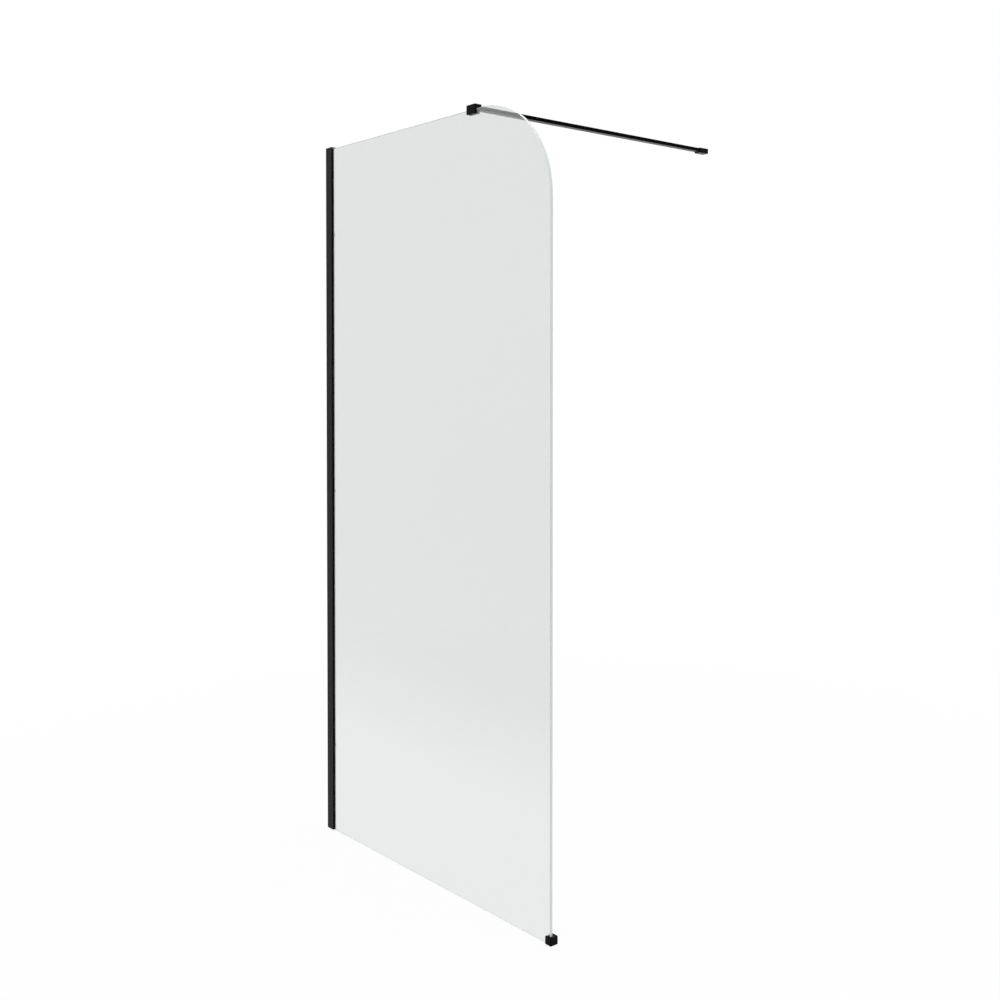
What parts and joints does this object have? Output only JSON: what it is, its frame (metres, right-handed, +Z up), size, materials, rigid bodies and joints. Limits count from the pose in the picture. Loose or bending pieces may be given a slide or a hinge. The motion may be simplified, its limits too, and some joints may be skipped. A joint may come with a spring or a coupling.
{
  "type": "walk-in shower screen",
  "caption": "Clear glass shower panel with a rounded top corner, black wall profile, top bar to the facing wall and small floor foot.",
  "frame": {"origin": "on the wall that the channel is screwed to, in the middle of the glass thickness, at floor level", "axes": "+X along the glass away from the wall, +Y into the shower towards the facing wall, +Z up"},
  "size_m": [0.982, 0.893, 2.013],
  "materials": {
    "black_aluminium": "matt black powder coat",
    "black_bar": "matt black powder coat",
    "black_casting": "matt black powder coat",
    "black_plastic": "fine matt grain",
    "grey_plastic": "matt",
    "black_gasket": "soft matt",
    "soft_pad": "soft matt",
    "steel": "satin stainless steel",
    "clear_glass": "clear polished float glass"
  },
  "bodies": {
    "wall_side": {"wall_channel": "black_aluminium", "channel_top_cap": "black_plastic", "channel_lock_screws": "steel", "lock_screw_caps": "black_plastic"},
    "panel": {"glazing_profile": "black_aluminium", "gasket_outside": "black_gasket", "gasket_inside": "black_gasket", "glass_edge_blocks": "grey_plastic", "glass_panel": "clear_glass", "foot_body": "black_casting", "foot_liner": "soft_pad", "foot_set_screw": "steel"},
    "bar": {"clamp_body": "black_casting", "clamp_pad_outside": "soft_pad", "clamp_pad_inside": "soft_pad", "clamp_pressure_plate": "steel", "clamp_set_screws": "steel", "support_bar": "black_bar", "bar_set_screw": "steel"},
    "bracket": {"wall_bracket": "black_casting", "bracket_set_screw": "steel"}
  },
  "joints": [
    {"name": "panel_adjustment", "type": "slide", "parent": "wall_side", "child": "panel", "axis": [1, 0, 0], "range_m": [0, 0.015]},
    {"name": "clamp_slide", "type": "slide", "parent": "panel", "child": "bar", "axis": [1, 0, 0], "range_m": [-0.6, 0.02]},
    {"name": "bracket_slide", "type": "slide", "parent": "bar", "child": "bracket", "axis": [0, 1, 0], "range_m": [-0.002, 0.012]}
  ]
}
